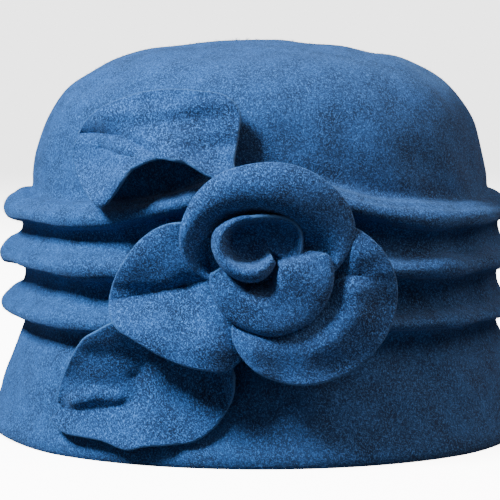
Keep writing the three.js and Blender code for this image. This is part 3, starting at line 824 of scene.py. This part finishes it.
# The two ends of a strip, the table's first one first: how high it stands as a share of the
# middle, and over what share of the strip it climbs
UPPER_LIP_ENDS = ((0.62, 0.45), (0.66, 0.2))
LOWER_LIP_ENDS = ((0.9, 0.17), (0.9, 0.25))
HEART_ENDS = ((0.5, 0.62), (0.8, 0.17))
# Sections from foot to outer edge, the cup and the thin one where a lip stands up: across, 1 at
# the lip's inner edge and 2 at its outer edge, and up as a share of the height
CUP_SECTION = [
    (0.6, 0), (0.76, 0.14), (0.96, 0.32), (1.16, 0.5), (1.36, 0.66), (1.56, 0.8), (1.74, 0.91),
    (1.87, 0.975), (1.95, 1.0), (1.99, 1.0), (2.02, 0.98),
]
WIDE_SECTION = [
    (0.6, 0), (0.72, 0.16), (0.84, 0.36), (0.94, 0.57), (1.02, 0.73), (1.14, 0.88), (1.3, 0.97),
    (1.5, 1.0), (1.74, 0.95), (1.9, 0.86), (2.0, 0.76),
]
DEEP_SECTION = [
    (0.8, 0), (0.84, 0.25), (0.88, 0.5), (0.94, 0.76), (1.0, 0.9), (1.15, 0.99), (1.4, 1.0),
    (1.7, 1.0), (1.88, 0.97), (1.98, 0.9), (2.02, 0.82),
]
THIN_SECTION = [
    (0.1, 0), (0.6, 0.02), (0.8, 0.12), (0.88, 0.3), (0.94, 0.5), (0.99, 0.68), (1.2, 0.8),
    (1.45, 0.88), (1.7, 0.94), (1.88, 0.98), (2.0, 1.0),
]
HEART_SECTION = [
    (0.1, 0), (0.6, 0.03), (0.84, 0.2), (0.93, 0.55), (1.0, 0.82), (1.15, 0.96), (1.4, 1.0),
    (1.7, 0.93), (1.9, 0.8), (2.0, 0.62), (1.96, 0.5),
]


def rolled_grid(lip, upright, rolled, height, ends, steps=220, lines=70):
    """Middle of a rolled petal: its section carried round the rose's middle, between the
    lip's inner and outer radius, with its two ends lower than its middle."""
    degrees = np.linspace(lip[0][0], lip[-1][0], steps)
    inner_edge, outer_edge, roll = curve(lip, degrees).T
    place = np.linspace(0, len(rolled) - 1, lines)
    stood = curve([(k, *row) for k, row in enumerate(upright)], place)[:, None]
    turned = curve([(k, *row) for k, row in enumerate(rolled)], place)[:, None]
    share, up = np.moveaxis(mix(stood, turned, np.clip(roll, 0, 1)[:, None]), 2, 0)
    lip_radius = mix(inner_edge, outer_edge, share - 1)
    radius = ROSE_RADIUS * np.where(share < 1, inner_edge * share, lip_radius)
    along = np.linspace(0, 1, steps)
    stand = np.full(steps, height)
    for (low_end, climb), away in zip(ends, (along, 1 - along)):
        t = np.clip(1 - away / climb, 0, 1)
        stand *= 1 - (1 - low_end) * t * t * (3 - 2 * t)
    out = mix(layer(3), stand, up)
    x = radius * np.cos(np.radians(degrees))
    z = radius * np.sin(np.radians(degrees))
    return on_seat(ROSE_X + x, ROSE_Z + z, out, "rose")


upper_roll = rolled_grid(UPPER_LIP, CUP_SECTION, WIDE_SECTION, UPPER_LIP_HEIGHT, UPPER_LIP_ENDS)
upper_petal = felt_piece("felt_petal_upper", upper_roll, False)
dress(upper_petal, "petal_upper", 35)
lower_roll = rolled_grid(LOWER_LIP, CUP_SECTION, DEEP_SECTION, LOWER_LIP_HEIGHT, LOWER_LIP_ENDS)
lower_petal = felt_piece("felt_petal_lower", lower_roll, False)
dress(lower_petal, "petal_lower", 36)
heart_roll = rolled_grid(HEART_LIP, THIN_SECTION, HEART_SECTION, HEART_HEIGHT, HEART_ENDS)
heart = felt_piece("felt_rose_heart", heart_roll, False)
dress(heart, "rose_heart", 37)


# Floor, lights and camera.
# A white floor that fades into a pale backdrop, a soft light from the upper left and a weak
# broad one from the right, and the camera about a metre away, a little above the crown.

FLOOR_HALF = 3.0
FADE_START = 0.4
FADE_END = 1.4
BACKDROP = (1, 1, 1, 1)
BACKDROP_GLOW = 3.3
FLOOR_GLOW = 8.5
# The floor as the camera sees it, and the tone of the light that it throws back on the hat
FLOOR_SEEN = (0.97, 0.97, 0.97, 1)
FLOOR_BOUNCE = (0.12, 0.12, 0.13, 1)

floor_points = np.array([(-1, -1, 0), (1, -1, 0), (1, 1, 0), (-1, 1, 0)]) * FLOOR_HALF
floor = new_piece("floor", floor_points, [[0, 1, 2, 3]])
paint = bpy.data.materials.new("floor_paint")
paint.use_nodes = True
nodes, links = paint.node_tree.nodes, paint.node_tree.links
base = nodes["Principled BSDF"]
base.inputs["Roughness"].default_value = 0.9
base.inputs["Specular IOR Level"].default_value = 0.1
seen = nodes.new("ShaderNodeLightPath")
tone = nodes.new("ShaderNodeMix")
tone.data_type = "RGBA"
tone.inputs["A"].default_value = FLOOR_BOUNCE
tone.inputs["B"].default_value = FLOOR_SEEN
links.new(seen.outputs["Is Camera Ray"], tone.inputs["Factor"])
links.new(tone.outputs["Result"], base.inputs["Base Color"])
place = nodes.new("ShaderNodeTexCoord")
length = nodes.new("ShaderNodeVectorMath")
length.operation = "LENGTH"
links.new(place.outputs["Object"], length.inputs[0])
away = nodes.new("ShaderNodeMapRange")
away.interpolation_type = "SMOOTHSTEP"
away.inputs["From Min"].default_value = FADE_START
away.inputs["From Max"].default_value = FADE_END
links.new(length.outputs["Value"], away.inputs["Value"])
glow = nodes.new("ShaderNodeEmission")
glow.inputs["Color"].default_value = BACKDROP
shine = nodes.new("ShaderNodeMath")
shine.operation = "MULTIPLY"
shine.inputs[1].default_value = BACKDROP_GLOW
links.new(seen.outputs["Is Camera Ray"], shine.inputs[0])
lift = nodes.new("ShaderNodeMath")
lift.operation = "MULTIPLY"
lift.inputs[1].default_value = FLOOR_GLOW
links.new(seen.outputs["Is Camera Ray"], lift.inputs[0])
base.inputs["Emission Color"].default_value = BACKDROP
links.new(lift.outputs["Value"], base.inputs["Emission Strength"])
links.new(shine.outputs["Value"], glow.inputs["Strength"])
fade = nodes.new("ShaderNodeMixShader")
links.new(away.outputs["Result"], fade.inputs["Fac"])
links.new(base.outputs["BSDF"], fade.inputs[1])
links.new(glow.outputs["Emission"], fade.inputs[2])
links.new(fade.outputs["Shader"], nodes["Material Output"].inputs["Surface"])
floor.data.materials.append(paint)


def area_light(name, place, target, size, power, colour):
    """A square soft light at a place, turned to a target."""
    light = bpy.data.lights.new(name, "AREA")
    light.size = size
    light.energy = power
    light.color = colour
    lamp = bpy.data.objects.new(name, light)
    lamp.location = place
    aim = np.array(target) - np.array(place)
    yaw = math.atan2(aim[1], aim[0])
    tilt = math.atan2(-aim[2], math.hypot(aim[0], aim[1]))
    lamp.rotation_euler = (math.pi / 2 - tilt, 0, yaw - math.pi / 2)
    bpy.context.scene.collection.objects.link(lamp)


HAT_MIDDLE = (0, 0, 0.08)
# The key light's distance from the middle of the hat, and its angles to the left and up
KEY_AWAY = 1.4
KEY_SIDE = 58
KEY_UP = 48
KEY_COLOUR = (0.92, 1.0, 1.06)
FILL_PLACE = (0.8, -0.3, 1.1)
FILL_COLOUR = (1.0, 0.64, 0.5)
AMBIENT = 0.15
AMBIENT_COLOUR = (1.0, 0.6, 0.42, 1)
side, up = math.radians(KEY_SIDE), math.radians(KEY_UP)
key_flat = KEY_AWAY * math.cos(up)
key_place = (
    -key_flat * math.sin(side), -key_flat * math.cos(side), HAT_MIDDLE[2] + KEY_AWAY * math.sin(up))
area_light("key", key_place, HAT_MIDDLE, 0.36, 70, KEY_COLOUR)
area_light("fill", FILL_PLACE, HAT_MIDDLE, 1.0, 22, FILL_COLOUR)
world = bpy.data.worlds.new("studio")
world.use_nodes = True
nodes, links = world.node_tree.nodes, world.node_tree.links
seen = nodes.new("ShaderNodeLightPath")
strength = nodes.new("ShaderNodeMapRange")
strength.inputs["To Min"].default_value = AMBIENT
strength.inputs["To Max"].default_value = BACKDROP_GLOW
links.new(seen.outputs["Is Camera Ray"], strength.inputs["Value"])
hue = nodes.new("ShaderNodeMix")
hue.data_type = "RGBA"
hue.inputs["A"].default_value = AMBIENT_COLOUR
hue.inputs["B"].default_value = BACKDROP
links.new(seen.outputs["Is Camera Ray"], hue.inputs["Factor"])
links.new(hue.outputs["Result"], nodes["Background"].inputs["Color"])
links.new(strength.outputs["Result"], nodes["Background"].inputs["Strength"])
bpy.context.scene.world = world

CAMERA_AWAY = 1.05
CAMERA_HEIGHT = 0.2
CAMERA_SIDE = -0.0044
CAMERA_TILT = 6.68
FOCAL_PIXELS = 2395
IMAGE_PIXELS = 500
lens = bpy.data.cameras.new("camera")
lens.sensor_width = 36
lens.lens = lens.sensor_width * FOCAL_PIXELS / IMAGE_PIXELS
camera = bpy.data.objects.new("camera", lens)
camera.location = (HAT_X + CAMERA_SIDE, HAT_Y - CAMERA_AWAY, CAMERA_HEIGHT)
camera.rotation_euler = (math.radians(90 - CAMERA_TILT), 0, 0)
bpy.context.scene.collection.objects.link(camera)
bpy.context.scene.camera = camera
